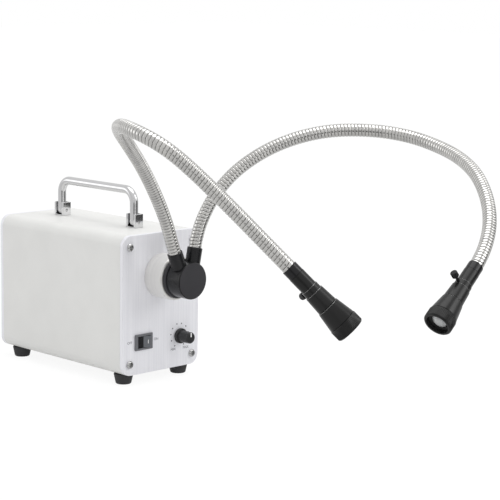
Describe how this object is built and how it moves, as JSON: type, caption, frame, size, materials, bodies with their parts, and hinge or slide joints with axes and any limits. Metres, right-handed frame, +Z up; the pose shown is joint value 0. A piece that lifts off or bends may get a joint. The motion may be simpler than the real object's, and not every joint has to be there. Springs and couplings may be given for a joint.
{
  "type": "fiber optic illuminator",
  "caption": "Bench light source box with dimmer, rocker switch, fan and folding handle, and a plug-in twin gooseneck light guide with focusing lens heads.",
  "frame": {"origin": "on the bench, under the middle of the case", "axes": "+X to the right seen from the front, +Y towards the back, +Z up"},
  "size_m": [0.3411, 0.5209, 0.2615],
  "materials": {
    "painted_grey": "smooth warm light grey paint",
    "brushed_plate": "fine vertical brushing, clear anodised",
    "turned_alu": "fine turned, clear anodised",
    "black_alu": "satin black anodised",
    "steel": "satin steel",
    "chrome": "bright plated",
    "rubber": "matt black rubber",
    "black_plastic": "matt black plastic",
    "knob_plastic": "satin black plastic",
    "rocker_plastic": "satin dark grey plastic",
    "white_ceramic": "white coated board with a yellow emitter",
    "board": "green solder mask",
    "board_parts": "black mouldings and sleeves",
    "brass": "plain brass",
    "glass": "clear polished glass",
    "fibre": "packed glass fibres, polished ends",
    "hose": "interlocked strip-wound steel hose"
  },
  "bodies": {
    "case": {"case_sleeve": "painted_grey", "front_panel": "brushed_plate", "rear_panel": "brushed_plate", "case_screws": "steel", "small_screws": "steel", "rubber_feet": "rubber", "light_port": "turned_alu", "port_lock_nut": "steel", "led_heatsink": "turned_alu", "led_module": "white_ceramic", "lens_tube": "black_alu", "condenser_lens": "glass", "standoffs": "brass", "fan_frame": "black_plastic", "driver_board": "board", "board_parts": "board_parts", "switch_housing": "black_plastic", "dimmer_pot": "steel", "mains_inlet": "black_plastic", "inlet_pins": "brass", "handle_brackets": "chrome", "handle_pins": "steel", "handle_nuts": "steel"},
    "handle": {"carry_handle": "chrome"},
    "fan": {"fan_rotor": "black_plastic"},
    "rocker": {"power_rocker": "rocker_plastic"},
    "dimmer": {"dimmer_knob": "knob_plastic", "dimmer_shaft": "brass"},
    "guide_plug": {"guide_ferrule": "steel", "guide_flange": "black_alu", "guide_fibre_core": "fibre", "guide_clip": "steel"},
    "guide_manifold": {"guide_head": "black_alu", "guide_cap": "black_alu", "left_collar": "black_alu", "right_collar": "black_alu", "guide_fibres": "fibre", "left_hose_base": "hose", "right_hose_base": "hose"},
    "left_lower_arm": {"left_hose_lower": "hose", "left_hose_crown": "hose"},
    "left_upper_arm": {"left_hose_upper": "hose", "left_hose_tip": "hose"},
    "left_arm_end": {"left_end_socket": "black_alu", "left_fibre_end": "fibre"},
    "left_lens_head": {"left_lens_barrel": "black_alu", "left_lens_ring": "black_alu", "left_lens": "glass"},
    "left_thumb": {"left_thumbscrew": "black_alu"},
    "right_lower_arm": {"right_hose_lower": "hose", "right_hose_crown": "hose"},
    "right_upper_arm": {"right_hose_upper": "hose", "right_hose_tip": "hose"},
    "right_arm_end": {"right_end_socket": "black_alu", "right_fibre_end": "fibre"},
    "right_lens_head": {"right_lens_barrel": "black_alu", "right_lens_ring": "black_alu", "right_lens": "glass"},
    "right_thumb": {"right_thumbscrew": "black_alu"}
  },
  "joints": [
    {"name": "handle_fold", "type": "hinge", "parent": "case", "child": "handle", "pos_m": [-0.0007, 0, 0.1447], "axis": [0, -1, 0], "range_deg": [0, 90]},
    {"name": "fan_spin", "type": "hinge", "parent": "case", "child": "fan", "pos_m": [0, 0.08, 0.0995], "axis": [0, 1, 0], "continuous": true},
    {"name": "rocker_tilt", "type": "hinge", "parent": "case", "child": "rocker", "pos_m": [-0.022, -0.0905, 0.0396], "axis": [0, 0, 1], "range_deg": [0, 23.6]},
    {"name": "dimmer_turn", "type": "hinge", "parent": "case", "child": "dimmer", "pos_m": [0.0234, -0.095, 0.039], "axis": [0, 1, 0], "range_deg": [-150, 150]},
    {"name": "guide_plug_slide", "type": "slide", "parent": "case", "child": "guide_plug", "axis": [0, -1, 0], "range_m": [0, 0.03]},
    {"name": "guide_turn", "type": "hinge", "parent": "guide_plug", "child": "guide_manifold", "pos_m": [0, -0.117, 0.0995], "axis": [0, 1, 0], "range_deg": [-20, 20]},
    {"name": "left_base_bend", "type": "hinge", "parent": "guide_manifold", "child": "left_lower_arm", "pos_m": [-0.02637, -0.1274, 0.15394], "axis": [0, -0.9921, -0.1253], "range_deg": [-20, 20], "deforming": ["left_hose_base"]},
    {"name": "left_crown_bend", "type": "hinge", "parent": "left_lower_arm", "child": "left_upper_arm", "pos_m": [-0.1467, -0.2025, 0.25155], "axis": [0.7683, -0.6401, 0], "range_deg": [-20, 20], "deforming": ["left_hose_crown"]},
    {"name": "left_tip_bend", "type": "hinge", "parent": "left_upper_arm", "child": "left_arm_end", "pos_m": [-0.11761, -0.3423, 0.17109], "axis": [0.817, 0.5766, 0], "range_deg": [-30, 30], "deforming": ["left_hose_tip"]},
    {"name": "left_focus_slide", "type": "slide", "parent": "left_arm_end", "child": "left_lens_head", "axis": [0.4734, -0.5308, -0.7029], "range_m": [0, 0.01]},
    {"name": "left_thumbscrew_turn", "type": "hinge", "parent": "left_lens_head", "child": "left_thumb", "pos_m": [-0.09536, -0.36996, 0.13636], "axis": [0.2728, 0.8472, -0.456], "range_deg": [-90, 90]},
    {"name": "right_base_bend", "type": "hinge", "parent": "guide_manifold", "child": "right_lower_arm", "pos_m": [0.01836, -0.12825, 0.15712], "axis": [0, 0.982, 0.1888], "range_deg": [-20, 20], "deforming": ["right_hose_base"]},
    {"name": "right_crown_bend", "type": "hinge", "parent": "right_lower_arm", "child": "right_upper_arm", "pos_m": [0.1248, -0.21562, 0.23612], "axis": [0.7071, 0.7071, 0], "range_deg": [-20, 20], "deforming": ["right_hose_crown"]},
    {"name": "right_tip_bend", "type": "hinge", "parent": "right_upper_arm", "child": "right_arm_end", "pos_m": [0.07954, -0.40188, 0.15754], "axis": [0.3973, -0.9177, 0], "range_deg": [-30, 30], "deforming": ["right_hose_tip"]},
    {"name": "right_focus_slide", "type": "slide", "parent": "right_arm_end", "child": "right_lens_head", "axis": [-0.8004, -0.083, -0.5936], "range_m": [0, 0.01]},
    {"name": "right_thumbscrew_turn", "type": "hinge", "parent": "right_lens_head", "child": "right_thumb", "pos_m": [0.04026, -0.4094, 0.12832], "axis": [-0.5994, 0.0993, 0.7943], "range_deg": [-90, 90]}
  ]
}
